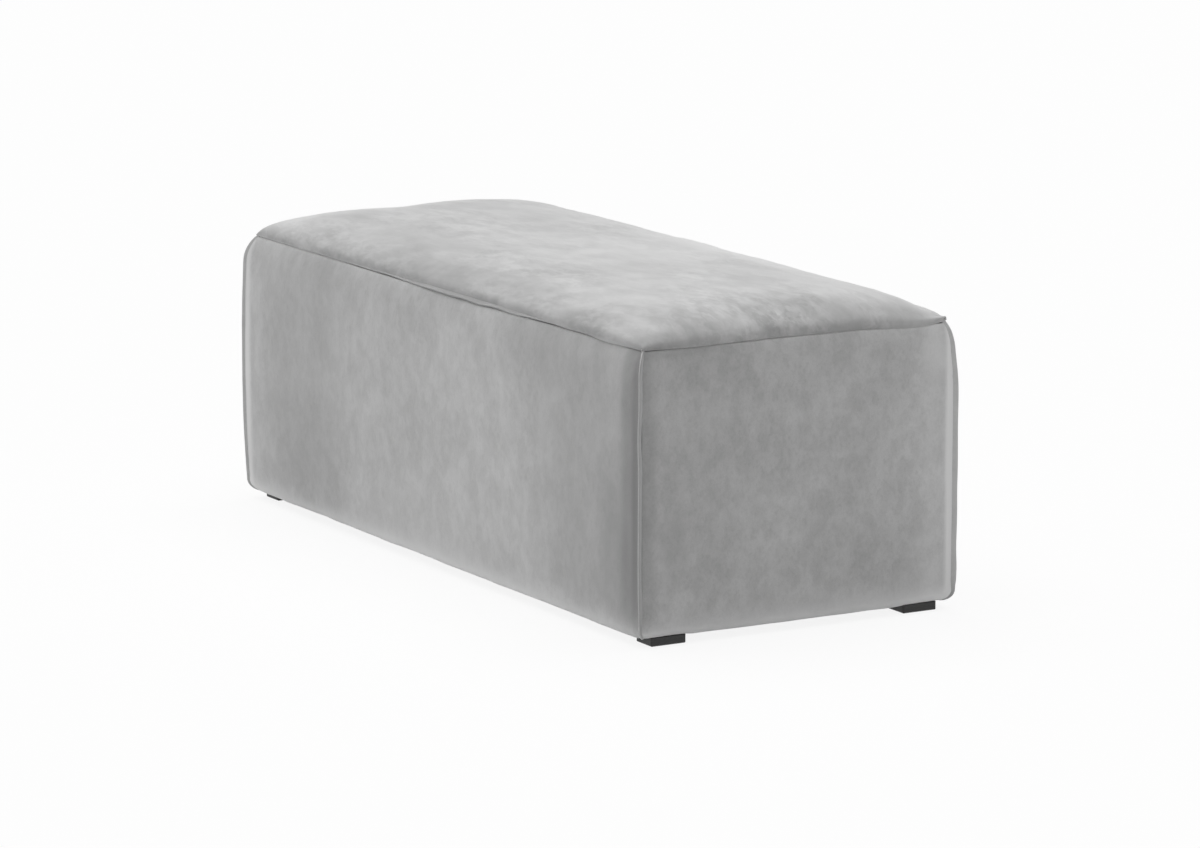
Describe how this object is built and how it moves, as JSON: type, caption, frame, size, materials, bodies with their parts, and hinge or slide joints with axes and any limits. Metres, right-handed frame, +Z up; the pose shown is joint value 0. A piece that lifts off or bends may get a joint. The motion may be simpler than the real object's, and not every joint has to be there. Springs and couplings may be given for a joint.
{
  "type": "pouf",
  "caption": "Long rectangular upholstered pouf with a crowned top, raised seams and low block feet, on a padded timber frame with interlaced webbing.",
  "frame": {"origin": "on the floor, under the middle of the pouf", "axes": "+X along the length, +Y from the front long side to the back, +Z up"},
  "size_m": [1.198, 0.516, 0.452],
  "materials": {
    "pine": "planed, unfinished",
    "plywood": "sawn, unfinished",
    "beech": "turned and fluted, unfinished",
    "hardboard": "smooth face, unfinished",
    "webbing": "woven elastic",
    "felt": "needled",
    "foam": "open cell",
    "fibre": "bonded fibre",
    "velvet": "short velvet pile, brushed",
    "velvet_seam": "short velvet pile, folded",
    "lining": "bonded, non-woven",
    "steel": "zinc plated",
    "foot_plastic": "moulded, matt"
  },
  "bodies": {
    "root": {"base_rail_front": "pine", "base_rail_right": "pine", "base_rail_back": "pine", "base_rail_left": "pine", "top_rail_front": "pine", "top_rail_right": "pine", "top_rail_back": "pine", "top_rail_left": "pine", "post_front_left": "pine", "post_front_right": "pine", "post_back_left": "pine", "post_back_right": "pine", "gusset_front_left": "plywood", "gusset_front_right": "plywood", "gusset_back_left": "plywood", "gusset_back_right": "plywood", "stud_front": "pine", "stud_back": "pine", "cross_rail_left": "pine", "cross_rail_right": "pine", "spreader": "pine", "dowels": "beech", "side_board_front": "hardboard", "side_board_right": "hardboard", "side_board_back": "hardboard", "side_board_left": "hardboard", "webbing_long_front": "webbing", "webbing_long_middle": "webbing", "webbing_long_back": "webbing", "webbing_cross_1": "webbing", "webbing_cross_2": "webbing", "webbing_cross_3": "webbing", "webbing_cross_4": "webbing", "webbing_cross_5": "webbing", "webbing_cross_6": "webbing", "webbing_staples": "steel", "felt_insulator": "felt", "seat_foam": "foam", "crown_fibre": "fibre", "side_wadding_front": "fibre", "side_wadding_right": "fibre", "side_wadding_back": "fibre", "side_wadding_left": "fibre", "cover_top": "velvet", "cover_front": "velvet", "cover_right": "velvet", "cover_back": "velvet", "cover_left": "velvet", "seam_top": "velvet_seam", "seam_front_left": "velvet_seam", "seam_front_right": "velvet_seam", "seam_back_left": "velvet_seam", "seam_back_right": "velvet_seam", "lining": "lining", "lining_staples": "steel", "foot_front_left": "foot_plastic", "foot_front_right": "foot_plastic", "foot_back_left": "foot_plastic", "foot_back_right": "foot_plastic", "foot_screws": "steel"}
  },
  "joints": []
}
